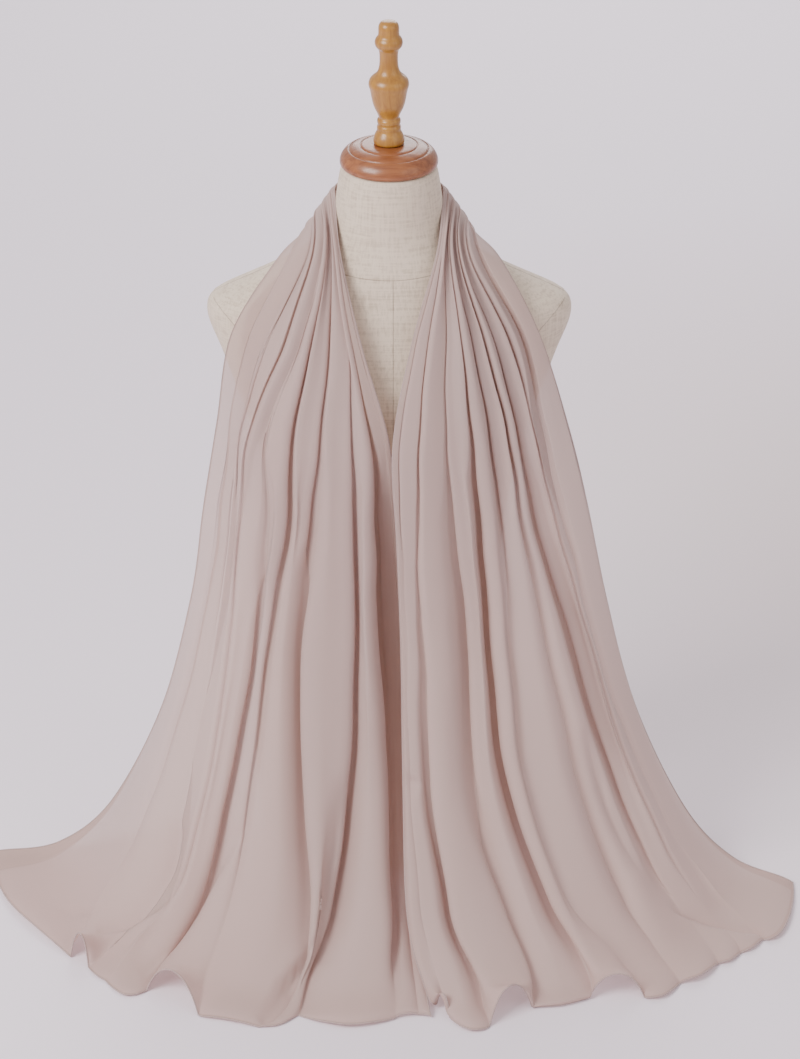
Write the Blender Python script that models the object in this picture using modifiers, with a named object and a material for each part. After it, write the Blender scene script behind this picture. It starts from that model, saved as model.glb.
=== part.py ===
# A hijab headscarf laid round the neck of a limbless dress form: one long strip of thin cloth,
# gathered into pleats at the nape, whose two ends fall down the front and open out on the surface
# that the form stands on. The form is a linen-covered torso with a turned wooden neck cap and
# finial. Sizes here are in millimetres and are turned to metres as each mesh is made.
# +Z is up and -Y is the front. The origin is the middle of the form's flat underside.
import bpy
import math
import numpy as np

MM = 0.001
GAP = 0.3                 # clearance left between pieces that meet
SEAM_GAP = 0.8            # set-back of the nape band from each fall, which leaves 0.3 between walls

# Driving sizes
CLOTH_WALL = 1.2          # thickness of the modelled cloth
FOLD_STEPS = 6            # strips of mesh across each fold
NAPE_ROWS = 12            # rows of mesh round the back of the neck
NAPE_CENTRE_Y = 6.0       # the nape turns about this line, on the neck's own axis
NAPE_SINK = 9.0           # how far the band dips at the back, below its sides
NAPE_CLOSE = 0.4          # how much steeper the band stands at the back than at its sides

TORSO_SEGMENTS = 44
NECK_CAP_RADIUS = 48.6
NECK_CAP_BASE_Z = 781.0
NECK_CAP_TOP_Z = 803.0

# The dress form's sections, with columns z, half, front, back, square: half is half the width,
# front and back the depth before and behind the middle plane, and square is 2 for an ellipse and
# more for a boxier section.
TORSO = (
    (0.0,   140.0,  92.0, 100.0, 2.2),
    (60.0,  146.0,  95.0, 106.0, 2.2),
    (130.0, 149.0,  97.0, 110.0, 2.2),
    (230.0, 130.0,  90.0,  92.0, 2.2),
    (330.0, 111.0,  79.0,  68.0, 2.2),
    (430.0, 124.0,  90.0,  78.0, 2.2),
    (500.0, 139.0, 101.0,  90.0, 2.2),
    (560.0, 154.0,  97.0,  96.0, 2.2),
    (595.0, 171.0,  88.0,  94.0, 2.2),
    (625.0, 179.0,  77.0,  84.0, 2.2),
    (641.0, 172.0,  72.0,  74.0, 2.1),
    (655.0, 147.0,  68.0,  66.0, 2.0),
    (672.0, 115.0,  64.0,  60.0, 2.0),
    (690.0,  87.0,  60.0,  55.0, 2.0),
    (710.0,  63.0,  54.0,  51.0, 2.0),
    (732.0,  54.0,  52.0,  50.5, 2.0),
    (760.0,  51.3,  51.3,  51.3, 2.0),
    (780.7,  47.0,  47.0,  47.0, 2.0),
)

# The turned pieces: radius and height of each point, from the top down the outer side.
CAP_PROFILE = (
    (0.0, NECK_CAP_TOP_Z), (21.0, 802.6), (27.0, 801.8), (28.1, 800.6), (29.2, 801.3), (34.0, 799.9),
    (38.0, 798.4), (39.1, 796.9), (40.3, 797.2), (44.0, 794.6), (47.2, 790.6),
    (NECK_CAP_RADIUS, 786.0), (NECK_CAP_RADIUS, 783.6), (47.4, NECK_CAP_BASE_Z), (0.0, NECK_CAP_BASE_Z),
)
FINIAL_PROFILE = (
    (0.0, 928.0), (4.5, 927.2), (8.0, 924.6), (10.0, 920.0), (10.3, 915.0), (11.0, 912.5),
    (13.2, 910.0), (13.9, 906.6), (13.0, 902.8), (10.2, 900.0), (9.0, 896.0), (8.9, 888.0),
    (9.4, 882.0), (10.6, 877.6), (13.2, 874.2), (17.4, 871.4), (19.7, 867.0), (19.8, 862.5),
    (18.4, 859.0), (17.4, 853.0), (16.2, 846.0), (13.6, 838.6), (10.6, 832.4), (10.0, 829.4),
    (11.4, 828.2), (11.5, 824.4), (10.6, 823.0), (11.5, 821.6), (11.8, 817.8), (13.0, 814.4),
    (14.8, 811.0), (15.4, 807.0), (15.2, 803.3), (0.0, 803.3),
)

# The two falls. A fall is a strip of cloth drawn through stations, from the side of the neck to the hem.
# Its inner edge (in_) lies at the middle of the chest and its outer edge (out_) at the side.
# Seen from above the curve between them is a superellipse: bow says how long it keeps to the
# front, turn how sharply it comes round to the side.
# The rows are the stations neck, collar, chest, bust, waist, hip, shin, foot, toe and hem, and the
# columns are in_x, in_y, in_z, out_x, out_y, out_z, bow and turn.
FALL_LEFT = (
    (-54.9,    6.0, 752.0,  -86.0,   6.0, 706.0, 1.6, 1.0),
    (-49.0,  -50.0, 712.0, -112.0, -26.0, 690.0, 1.8, 1.0),
    (-27.0,  -99.0, 630.0, -157.0, -57.0, 624.0, 2.0, 1.0),
    (  0.0, -124.0, 535.0, -174.0, -66.0, 530.0, 2.2, 1.1),
    (  2.0, -133.0, 430.0, -189.0, -60.0, 430.0, 2.4, 1.2),
    (  4.0, -148.0, 320.0, -206.0, -56.0, 320.0, 2.5, 1.3),
    (  6.0, -192.0, 190.0, -241.0, -55.0, 190.0, 2.6, 1.5),
    ( 10.0, -262.0,  78.0, -298.0, -56.0,  74.0, 2.8, 1.7),
    ( 14.0, -317.0,  32.0, -354.0, -58.0,  25.0, 2.9, 1.9),
    ( 18.0, -352.0,  22.0, -426.0, -58.0,  16.0, 3.0, 2.0),
)
FALL_RIGHT = (
    ( 54.9,    6.0, 752.0,   86.0,   6.0, 706.0, 1.6, 1.0),
    ( 48.0,  -52.0, 712.0,  112.0, -26.0, 690.0, 1.8, 1.0),
    ( 22.0, -101.0, 630.0,  150.0, -59.0, 624.0, 2.0, 1.0),
    (  4.0, -132.0, 535.0,  176.0, -66.0, 530.0, 2.2, 1.1),
    ( 10.0, -146.0, 430.0,  200.0, -60.0, 430.0, 2.4, 1.2),
    ( 12.0, -164.0, 320.0,  226.0, -56.0, 320.0, 2.4, 1.3),
    ( 14.0, -208.0, 190.0,  266.0, -60.0, 190.0, 2.4, 1.4),
    ( 22.0, -274.0,  78.0,  316.0, -72.0,  74.0, 2.4, 1.5),
    ( 38.0, -322.0,  32.0,  366.0, -90.0,  25.0, 2.4, 1.6),
    ( 54.0, -352.0,  22.0,  430.0,-112.0,  16.0, 2.4, 1.7),
)

# Where each crease lies across the fall, as its x at every station. The first and last rows of
# a table are the two edges, so they only have depths.
CREASES_LEFT = {
    "throat":    ( -60,  -55,  -39,  -13,   -5,   -3,   -1,    3,    6,   -4),
    "front":     ( -64,  -60,  -46,  -38,  -36,  -33,  -42,  -62,  -98, -140),
    "long":      ( -68,  -65,  -61,  -72,  -80,  -90, -100, -122, -160, -196),
    "middle":    ( -72,  -70,  -78, -102, -106, -128, -150, -178, -216, -260),
    "soft":      ( -75,  -79,  -98, -122, -134, -152, -177, -213, -258, -316),
    "shoulder":  ( -79,  -91, -117, -139, -150, -168, -192, -230, -278, -342),
    "side":      ( -83, -101, -134, -154, -166, -184, -208, -254, -306, -390),
}
DEPTHS_LEFT = {
    "inner_edge": (1,  2,  3,  8, 28, 30, 26, 22, 14, 20),
    "throat":     (2,  3,  8, 18, 34, 34, 28, 24, 16, 21),
    "front":      (2,  3,  5, 10, 13, 12, 12, 13, 12, 21),
    "long":       (2,  4, 10, 13, 15, 13, 13, 15, 14, 21),
    "middle":     (2,  4, 10, 12,  9,  9, 13, 16, 14, 20),
    "soft":       (2,  6,  7,  5,  2,  2,  4,  8, 12, 20),
    "shoulder":   (2,  7,  6,  4,  3,  2,  3,  8, 12, 19),
    "side":       (2,  5,  5,  7,  8,  8,  9,  7,  9, 14),
    "outer_edge": (2,  3,  3,  3,  4,  5,  6,  8, 11, 15),
}
CREASES_RIGHT = {
    "throat":    (  60,   52,   38,   29,   29,   30,   38,   60,   88,  104),
    "front":     (  64,   58,   57,   59,   67,   78,   88,  116,  140,  158),
    "long":      (  68,   65,   74,   86,   92,  103,  118,  142,  170,  204),
    "middle":    (  71,   73,   85,  103,  121,  142,  162,  190,  222,  258),
    "soft":      (  75,   82,  100,  120,  138,  164,  192,  222,  254,  296),
    "shoulder":  (  79,   92,  117,  136,  155,  185,  228,  260,  298,  340),
    "side":      (  83,  101,  132,  156,  176,  206,  246,  288,  334,  388),
}
DEPTHS_RIGHT = {
    "inner_edge": (1,  2,  3,  4,  5,  6,  6,  8, 10, 20),
    "throat":     (2,  4,  8,  9,  8,  8,  8, 10, 12, 21),
    "front":      (2,  7,  9, 11, 13, 12, 12, 14, 13, 21),
    "long":       (2,  7, 11, 14, 16, 16, 15, 15, 14, 20),
    "middle":     (2,  6,  8, 10, 10,  7,  5,  8, 12, 20),
    "soft":       (2,  7,  9,  9,  4,  3,  4,  7, 11, 18),
    "shoulder":   (2,  9, 11, 11, 13, 12, 10,  8, 11, 19),
    "side":       (2,  6,  7,  7,  8,  5,  4,  5,  9, 14),
    "outer_edge": (2,  3,  3,  3,  4,  5,  6,  8, 11, 15),
}
# How narrow the creases are at each station: a high number gives broad, flat-topped folds.
CREASE_POWER = (2.0, 2.4, 3.0, 3.2, 3.0, 2.8, 2.6, 2.4, 2.2, 2.0)
# Rows of mesh from each station to the next.
ROWS = (3, 3, 3, 2, 2, 2, 3, 2, 2)


# Helpers
def table_at(rows, t):
    """A smooth curve (Catmull-Rom) through a table's rows, read at row number t."""
    rows = np.asarray(rows, dtype=float)
    last = len(rows) - 1
    i = min(int(math.floor(t)), last - 1)
    f = t - i
    before = rows[i - 1] if i > 0 else 2 * rows[0] - rows[1]
    after = rows[i + 2] if i + 2 <= last else 2 * rows[last] - rows[last - 1]
    a, b = rows[i], rows[i + 1]
    return 0.5 * (2 * a + (b - before) * f + (2 * before - 5 * a + 4 * b - after) * f * f
                  + (3 * a - before - 3 * b + after) * f ** 3)


def grid_mesh(name, points, wall):
    """An open sheet through a grid of points, given its wall with Solidify."""
    rows, columns = len(points), len(points[0])
    verts = [tuple(c * MM for c in p) for row in points for p in row]
    faces = [(r * columns + c, r * columns + c + 1, (r + 1) * columns + c + 1, (r + 1) * columns + c)
             for r in range(rows - 1) for c in range(columns - 1)]
    mesh = bpy.data.meshes.new(name)
    mesh.from_pydata(verts, [], faces)
    mesh.shade_smooth()
    obj = bpy.data.objects.new(name, mesh)
    collection.objects.link(obj)
    solid = obj.modifiers.new("wall", "SOLIDIFY")
    solid.thickness = wall * MM
    solid.offset = 0.0
    return obj


def turned(name, profile, steps):
    """A lathe-turned solid: the profile runs from the top centre down its outer side."""
    mesh = bpy.data.meshes.new(name)
    points = [(r * MM, 0.0, z * MM) for r, z in profile]
    mesh.from_pydata(points, [(i, i + 1) for i in range(len(profile) - 1)], [])
    obj = bpy.data.objects.new(name, mesh)
    collection.objects.link(obj)
    screw = obj.modifiers.new("turn", "SCREW")
    screw.steps = screw.render_steps = steps
    screw.use_merge_vertices = True
    screw.merge_threshold = 0.00001
    screw.use_smooth_shade = True
    return obj


def material(name, colour, roughness):
    mat = bpy.data.materials.new(name)
    mat.use_nodes = True
    shader = mat.node_tree.nodes["Principled BSDF"]
    shader.inputs["Base Color"].default_value = (*colour, 1.0)
    shader.inputs["Roughness"].default_value = roughness
    shader.inputs["Metallic"].default_value = 0.0
    return mat


# The cloth
def crease_profile(s, near, far, power):
    """How far a fold's face lies below its crown, at s across it from one crease to the next."""
    return near * (1.0 - s) ** power + far * s ** power


def fall_crown(across, t, stations):
    """The point on the smooth surface that the folds' crowns touch: across is 0 at the inner edge."""
    in_x, in_y, in_z, out_x, out_y, out_z, bow, turn = table_at(stations, t)
    across = min(max(across, 0.0), 1.0)
    keep = (1.0 - across ** bow) ** (1.0 / turn)
    return np.array((in_x + (out_x - in_x) * across, out_y + (in_y - out_y) * keep,
                     in_z + (out_z - in_z) * across))


def fall_normal(across, t, stations):
    """The direction out of the cloth there. At the seam it lies in the seam's own plane."""
    step, last = 0.02, len(stations) - 1
    along = (fall_crown(across, min(t + step, last), stations)
             - fall_crown(across, max(t - step, 0.0), stations))
    along /= np.linalg.norm(along)
    if t < 1.0:
        along = along * t + np.array((0.0, -1.0, 0.0)) * (1.0 - t)
    beside = fall_crown(across + step, t, stations) - fall_crown(across - step, t, stations)
    out = np.cross(along, beside)
    out /= np.linalg.norm(out)
    return -out if stations[0][0] < 0 else out


def fall_row(t, stations, creases, depths):
    """The points across a fall at station number t, from the inner edge to the outer."""
    in_x, out_x = table_at(stations, t)[[0, 3]]
    lines = table_at(np.array(list(creases.values())).T, t)
    edges = [in_x, *lines, out_x]
    dips = table_at(np.array(list(depths.values())).T, t)
    power = float(table_at(np.array(CREASE_POWER)[:, None], t)[0])
    floor = 0.5 * CLOTH_WALL + GAP
    row = []
    for fold in range(len(edges) - 1):
        for step in range(0 if fold == 0 else 1, FOLD_STEPS + 1):
            s = 0.5 * step / FOLD_STEPS + 0.25 - 0.25 * math.cos(math.pi * step / FOLD_STEPS)
            x = edges[fold] + (edges[fold + 1] - edges[fold]) * s
            across = (x - in_x) / (out_x - in_x)
            dip = crease_profile(s, dips[fold], dips[fold + 1], power)
            point = fall_crown(across, t, stations) - dip * fall_normal(across, t, stations)
            point[2] = max(point[2], floor)
            row.append(tuple(point))
    return row


def fall_grid(stations, creases, depths):
    at = [station + k / count for station, count in enumerate(ROWS) for k in range(count)]
    return [fall_row(t, stations, creases, depths) for t in [*at, len(ROWS)]]


def nape_grid(left_row, right_row):
    """The gathered band behind the neck: the left fall's first row turned round to the right's."""
    rows = []
    start = math.asin(SEAM_GAP / 60.0)
    for k in range(NAPE_ROWS + 1):
        turn = start + (math.pi - 2.0 * start) * k / NAPE_ROWS
        mix = k / NAPE_ROWS
        behind = math.sin(turn) ** 2
        row = []
        for (lx, ly, lz), (rx, ry, rz) in zip(left_row, right_row):
            radius = -lx * (1.0 - mix) + rx * mix
            height = lz * (1.0 - mix) + rz * mix
            radius -= (radius - right_row[0][0]) * NAPE_CLOSE * behind
            row.append((-radius * math.cos(turn), NAPE_CENTRE_Y + radius * math.sin(turn),
                        height - NAPE_SINK * behind))
        rows.append(row)
    return rows


# The build itself
for old in list(bpy.data.objects):
    bpy.data.objects.remove(old, do_unlink=True)
collection = bpy.data.collections.new("hijab_scarf_on_dress_form")
bpy.context.scene.collection.children.link(collection)

linen = material("linen", (0.56, 0.47, 0.41), 0.9)
cap_wood = material("cap_wood", (0.38, 0.16, 0.08), 0.45)
finial_wood = material("finial_wood", (0.46, 0.26, 0.12), 0.35)
chiffon = material("chiffon", (0.47, 0.33, 0.33), 0.85)

# The torso: rings lofted up from the flat underside to the top of the neck.
rings = []
for k in range((len(TORSO) - 1) * 2 + 1):
    z, half, front, back, square = table_at(TORSO, k / 2)
    ring = []
    for n in range(TORSO_SEGMENTS):
        a = 2.0 * math.pi * n / TORSO_SEGMENTS
        c, s = math.cos(a), math.sin(a)
        x = half * math.copysign(abs(c) ** (2.0 / square), c)
        depth = back if s > 0 else front
        ring.append((x * MM, depth * math.copysign(abs(s) ** (2.0 / square), s) * MM, z * MM))
    rings.append(ring)
verts = [p for ring in rings for p in ring]
n = TORSO_SEGMENTS
faces = [tuple(reversed(range(n))), tuple(range(len(verts) - n, len(verts)))]
for r in range(len(rings) - 1):
    for c in range(n):
        d = (c + 1) % n
        faces.append((r * n + c, r * n + d, (r + 1) * n + d, (r + 1) * n + c))
mesh = bpy.data.meshes.new("form_torso")
mesh.from_pydata(verts, [], faces)
mesh.shade_smooth()
torso = bpy.data.objects.new("form_torso", mesh)
collection.objects.link(torso)
torso.data.materials.append(linen)

cap = turned("neck_cap", CAP_PROFILE, 36)
cap.data.materials.append(cap_wood)
finial = turned("finial", FINIAL_PROFILE, 24)
finial.data.materials.append(finial_wood)

# The scarf: a fall down each side of the front, and the gathered band behind the neck.
left = fall_grid(FALL_LEFT, CREASES_LEFT, DEPTHS_LEFT)
right = fall_grid(FALL_RIGHT, CREASES_RIGHT, DEPTHS_RIGHT)
nape = nape_grid(left[0], right[0])
for name, points in (("scarf_fall_left", left), ("scarf_fall_right", [row[::-1] for row in right]),
                     ("scarf_nape", [row[::-1] for row in nape])):
    sheet = grid_mesh(name, points, CLOTH_WALL)
    sheet.data.materials.append(chiffon)
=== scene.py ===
import math
import bpy
import bmesh
import numpy as np
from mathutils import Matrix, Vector, noise
from mathutils.bvhtree import BVHTree


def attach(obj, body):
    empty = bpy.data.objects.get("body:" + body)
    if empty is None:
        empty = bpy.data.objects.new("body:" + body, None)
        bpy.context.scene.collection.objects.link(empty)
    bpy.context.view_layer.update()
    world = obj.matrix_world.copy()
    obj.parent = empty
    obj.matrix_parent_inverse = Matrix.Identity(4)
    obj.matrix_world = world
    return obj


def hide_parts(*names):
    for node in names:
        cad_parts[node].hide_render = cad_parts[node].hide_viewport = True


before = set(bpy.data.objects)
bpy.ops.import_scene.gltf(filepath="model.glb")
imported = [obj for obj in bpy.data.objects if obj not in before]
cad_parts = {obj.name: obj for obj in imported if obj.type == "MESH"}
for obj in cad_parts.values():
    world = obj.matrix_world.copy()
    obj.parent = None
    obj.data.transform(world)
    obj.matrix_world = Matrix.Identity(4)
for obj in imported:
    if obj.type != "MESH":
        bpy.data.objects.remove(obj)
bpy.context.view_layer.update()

MM = 0.001


# Camera, floor and light
# The photograph looks down on the form at 29 degrees with a long lens. A plain pale floor runs on
# past the view, a little darker and warmer on the right. One large soft lamp stands in front on the
# left, with a weak one on the right and one behind.
CAMERA_PLACE = (0.0108, -2.75, 1.895)
CAMERA_DOWN = 29.0
LENS, SENSOR_HEIGHT = 102.0, 36.0
FLOOR_SIZE = 16.0
# The darker, warmer colour on the right is a painted shadow: FLOOR_SHADED is faded in round SHADED_PLACE,
# right of and behind the form.
FLOOR_LIT, FLOOR_SHADED = (0.87, 0.785, 0.875), (0.745, 0.635, 0.645)
SHADED_PLACE, SHADED_REACH = (0.75, 0.70, 0.0), 1.1
LAMPS = (   # name, place, width in metres, watts and colour
    ("key", (-1.8, -1.6, 2.3), 1.5, 104.0, (1.0, 0.97, 0.95)),
    ("fill", (2.2, -1.6, 1.8), 2.2, 15.0, (1.0, 0.93, 0.88)),
    ("back", (0.3, 3.3, 2.2), 2.6, 88.0, (1.0, 0.97, 1.0)),
)
LAMP_AIM = Vector((0.0, 0.0, 0.4))
SKY_COLOUR, SKY_STRENGTH = (0.96, 0.93, 0.94), 0.80

camera_data = bpy.data.cameras.new("view")
camera_data.sensor_fit = "VERTICAL"
camera_data.sensor_height = SENSOR_HEIGHT
camera_data.lens = LENS
camera = bpy.data.objects.new("view", camera_data)
camera.location = CAMERA_PLACE
camera.rotation_euler = (math.radians(90.0 - CAMERA_DOWN), 0.0, 0.0)
bpy.context.scene.collection.objects.link(camera)
bpy.context.scene.camera = camera


def node(tree, kind, place, inputs=(), **settings):
    """A new node at a place in a node tree, with its settings and then its inputs' values."""
    made = tree.nodes.new(kind)
    made.location = place
    for key, value in settings.items():
        setattr(made, key, value)
    for key, value in dict(inputs).items():
        made.inputs[key].default_value = value
    return made


def new_material(name, inputs):
    """A material with these values on its Principled shader, its node tree, and that shader."""
    material = bpy.data.materials.new(name)
    material.use_nodes = True
    shader = material.node_tree.nodes["Principled BSDF"]
    for key, value in inputs.items():
        shader.inputs[key].default_value = value
    return material, material.node_tree, shader


bpy.ops.object.select_all(action="DESELECT")
bpy.ops.mesh.primitive_plane_add(size=FLOOR_SIZE, location=(0.0, 0.0, 0.0))
floor = bpy.context.active_object
floor.name = "floor"
pale_floor, floor_tree, floor_shader = new_material("pale_floor", {"Roughness": 0.8})
floor_place = node(floor_tree, "ShaderNodeTexCoord", (-900, 0))
shaded_side = node(floor_tree, "ShaderNodeMapping", (-700, 0),
                   {"Location": SHADED_PLACE, "Scale": (SHADED_REACH,) * 3}, vector_type="TEXTURE")
fading = node(floor_tree, "ShaderNodeTexGradient", (-500, 0), gradient_type="SPHERICAL")
floor_colour = node(floor_tree, "ShaderNodeMix", (-300, 0),
                    {"A": (*FLOOR_LIT, 1.0), "B": (*FLOOR_SHADED, 1.0)}, data_type="RGBA")
floor_tree.links.new(floor_place.outputs["Object"], shaded_side.inputs["Vector"])
floor_tree.links.new(shaded_side.outputs["Vector"], fading.inputs["Vector"])
floor_tree.links.new(fading.outputs["Fac"], floor_colour.inputs["Factor"])
floor_tree.links.new(floor_colour.outputs["Result"], floor_shader.inputs["Base Color"])
floor.data.materials.append(pale_floor)

for name, place, width, watts, colour in LAMPS:
    lamp = bpy.data.lights.new(name, "AREA")
    lamp.shape = "SQUARE"
    lamp.size = width
    lamp.energy = watts
    lamp.color = colour
    holder = bpy.data.objects.new(name, lamp)
    holder.location = place
    holder.rotation_euler = (LAMP_AIM - Vector(place)).to_track_quat("-Z", "Y").to_euler()
    bpy.context.scene.collection.objects.link(holder)

world = bpy.data.worlds.new("studio")
world.use_nodes = True
sky = world.node_tree.nodes["Background"]
sky.inputs["Color"].default_value = (*SKY_COLOUR, 1.0)
sky.inputs["Strength"].default_value = SKY_STRENGTH
bpy.context.scene.world = world


# The dress form's linen cover
# A padded torso and neck under a tight cover of unbleached slubby linen. The form stands on its flat
# base, and the cover is drawn smooth over it up to the neck, where the wooden cap is screwed on.
COVER_RINGS = (   # height, half width, half depth, how far back the ring's middle lies; in mm
    (0.0, 128.0, 84.0, 4.0), (0.0, 138.5, 94.5, 4.0), (3.0, 140.0, 96.0, 4.0), (60.0, 146.0, 100.5, 5.5),
    (130.0, 149.0, 103.5, 6.5), (230.0, 130.0, 91.0, 1.0), (330.0, 111.0, 73.5, -5.5),
    (430.0, 124.0, 84.0, -6.0), (500.0, 140.0, 95.5, -5.5), (540.0, 155.0, 97.0, -2.0),
    (565.0, 164.0, 95.0, 0.0), (584.0, 170.0, 91.5, 1.5), (604.0, 178.5, 86.0, 3.0),
    (617.0, 183.5, 82.0, 3.5), (629.0, 184.5, 78.0, 3.0), (637.0, 182.5, 75.5, 2.0),
    (643.0, 177.0, 73.0, 1.0), (648.0, 168.0, 70.5, 0.0), (657.0, 149.0, 66.5, -1.0),
    (667.0, 127.0, 63.5, -1.8), (676.0, 109.0, 61.0, -2.0), (690.0, 87.0, 57.5, -2.5),
    (710.0, 64.0, 52.8, -1.5), (732.0, 54.0, 51.4, -0.8), (760.0, 51.3, 51.3, 0.0),
    (779.5, 47.6, 47.6, 0.0), (780.7, 46.0, 46.0, 0.0), (780.7, 30.0, 30.0, 0.0),
)
COVER_SIDES = 44
COVER_LEVELS = 2
LINEN_PALE, LINEN_DARK = (0.695, 0.578, 0.462), (0.53, 0.428, 0.333)
LINEN_THREADS = 420.0
WARP, WEFT = (1.0, 1.0, 0.045), (0.045, 0.2, 1.0)


def threads_group():
    """Warp and weft as two crossed clouds drawn out into threads: 0 in the thinnest, 1 in the thickest."""
    group = bpy.data.node_groups.new("woven_threads", "ShaderNodeTree")
    group.interface.new_socket("Vector", in_out="INPUT", socket_type="NodeSocketVector")
    group.interface.new_socket("Threads per metre", in_out="INPUT", socket_type="NodeSocketFloat")
    group.interface.new_socket("Slubs", in_out="OUTPUT", socket_type="NodeSocketFloat")
    links = group.links
    enter = node(group, "NodeGroupInput", (-1000, 0))
    leave = node(group, "NodeGroupOutput", (200, 0))
    both = node(group, "ShaderNodeMath", (-300, 0), operation="ADD")
    for number, drawn_out in enumerate((WARP, WEFT)):
        scaled = node(group, "ShaderNodeVectorMath", (-750, -250 * number), {1: drawn_out},
                      operation="MULTIPLY")
        cloud = node(group, "ShaderNodeTexNoise", (-550, -250 * number), {"Detail": 3.0, "Roughness": 0.65})
        links.new(enter.outputs["Vector"], scaled.inputs[0])
        links.new(scaled.outputs[0], cloud.inputs["Vector"])
        links.new(enter.outputs["Threads per metre"], cloud.inputs["Scale"])
        links.new(cloud.outputs["Fac"], both.inputs[number])
    spread = node(group, "ShaderNodeMapRange", (-50, 0), {"From Min": 0.72, "From Max": 1.28})
    links.new(both.outputs[0], spread.inputs["Value"])
    links.new(spread.outputs["Result"], leave.inputs["Slubs"])
    return group


woven_threads = threads_group()


def colour_ramp(tree, place, *stops):
    """A colour ramp between two stops, each a position and a colour."""
    ramp = node(tree, "ShaderNodeValToRGB", place)
    for element, (position, colour) in zip(ramp.color_ramp.elements, stops):
        element.position = position
        element.color = (*colour, 1.0)
    return ramp


def linen_material(name, dark, pale):
    """Slubby linen: thick pale and thin dark threads, a little soiled, rough and raised."""
    material, tree, shader = new_material(name, {"Sheen Weight": 0.12, "Sheen Roughness": 0.6})
    links = tree.links
    place = node(tree, "ShaderNodeTexCoord", (-1100, 0))
    weave = node(tree, "ShaderNodeGroup", (-800, 100), node_tree=woven_threads)
    weave.inputs["Threads per metre"].default_value = LINEN_THREADS
    soil = node(tree, "ShaderNodeTexNoise", (-800, -200), {"Scale": 9.0, "Detail": 4.0})
    shade = colour_ramp(tree, (-560, 160), (0.05, dark), (0.62, pale))
    warm = colour_ramp(tree, (-560, -160), (0.3, (0.80, 0.76, 0.72)), (0.65, (1.0, 1.0, 1.0)))
    worn = node(tree, "ShaderNodeMix", (-300, 120), {"Factor": 0.35}, data_type="RGBA",
                blend_type="MULTIPLY")
    rough = node(tree, "ShaderNodeMapRange", (-300, -120), {"To Min": 0.95, "To Max": 0.78})
    bump = node(tree, "ShaderNodeBump", (-300, -340), {"Strength": 0.5, "Distance": 0.0004})
    links.new(place.outputs["Object"], weave.inputs["Vector"])
    links.new(place.outputs["Object"], soil.inputs["Vector"])
    links.new(weave.outputs["Slubs"], shade.inputs["Fac"])
    links.new(soil.outputs["Fac"], warm.inputs["Fac"])
    links.new(shade.outputs["Color"], worn.inputs["A"])
    links.new(warm.outputs["Color"], worn.inputs["B"])
    links.new(worn.outputs["Result"], shader.inputs["Base Color"])
    links.new(weave.outputs["Slubs"], rough.inputs["Value"])
    links.new(rough.outputs["Result"], shader.inputs["Roughness"])
    links.new(weave.outputs["Slubs"], bump.inputs["Height"])
    links.new(bump.outputs["Normal"], shader.inputs["Normal"])
    return material


def drawn_up(name, rings, sides, levels, material):
    """A disc drawn up ring by ring, with each ring scaled and moved to its own place."""
    bpy.ops.object.select_all(action="DESELECT")
    bpy.ops.mesh.primitive_circle_add(vertices=sides, radius=MM, fill_type="NGON", location=(0.0, 0.0, 0.0))
    piece = bpy.context.active_object
    piece.name = name
    bpy.ops.object.mode_set(mode="EDIT")
    bpy.ops.mesh.select_all(action="SELECT")
    height, half, depth, back = rings[0]
    bpy.ops.transform.resize(value=(half, depth, 1.0), center_override=(0.0, 0.0, 0.0))
    bpy.ops.transform.translate(value=(0.0, back * MM, height * MM))
    for next_height, next_half, next_depth, next_back in rings[1:]:
        step = (0.0, (next_back - back) * MM, (next_height - height) * MM)
        bpy.ops.mesh.extrude_region_move(TRANSFORM_OT_translate={"value": step})
        bpy.ops.transform.resize(value=(next_half / half, next_depth / depth, 1.0),
                                 center_override=(0.0, next_back * MM, next_height * MM))
        height, half, depth, back = next_height, next_half, next_depth, next_back
    bpy.ops.mesh.select_all(action="SELECT")
    bpy.ops.mesh.normals_make_consistent(inside=False)
    bpy.ops.object.mode_set(mode="OBJECT")
    rounded = piece.modifiers.new("rounded", "SUBSURF")
    rounded.levels = rounded.render_levels = levels
    bpy.ops.object.modifier_apply(modifier="rounded")
    piece.data.shade_smooth()
    piece.data.materials.append(material)
    return piece


linen = linen_material("slubby_linen", LINEN_DARK, LINEN_PALE)
cover = drawn_up("linen_cover", COVER_RINGS, COVER_SIDES, COVER_LEVELS, linen)
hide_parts("form_torso")
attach(cover, "root")


# The cover's seams
# Narrow welts where the linen panels are sewn together and turned in: down the middle of the front
# and the back, round the root of the neck, and at each shoulder and armhole. They follow the cover.
SEAM_RADIUS, SEAM_SUNK = 0.0006, 0.0003
# The welts' linen colours are darker than the cover's: a painted shade along each seam.
SEAM_SHADE_PALE, SEAM_SHADE_DARK = (0.45, 0.365, 0.285), (0.30, 0.235, 0.175)
MIDDLE_FOOT, MIDDLE_RISE, MIDDLE_STEPS = 0.012, 0.671, 90
FRONT_MIDDLE = 0.004
NECK_SEAM_HEIGHT, NECK_SEAM_DIP, NECK_SEAM_STEPS = 0.6975, 0.0145, 96
SHOULDER_FROM, SHOULDER_RUN, SHOULDER_STEPS, SHOULDER_BACK = 0.070, 0.106, 30, 0.004
ARMHOLE = (   # half width and height of points down the front armhole seam, in metres
    (0.1835, 0.6400), (0.1770, 0.6420), (0.1700, 0.6385), (0.1600, 0.6305), (0.1500, 0.6215),
    (0.1430, 0.6090), (0.1390, 0.5930), (0.1390, 0.5760), (0.1430, 0.5600), (0.1530, 0.5500),
)
ARMHOLE_STEPS = 6
OUTSIDE, ABOVE = 0.4, 0.9

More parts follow.
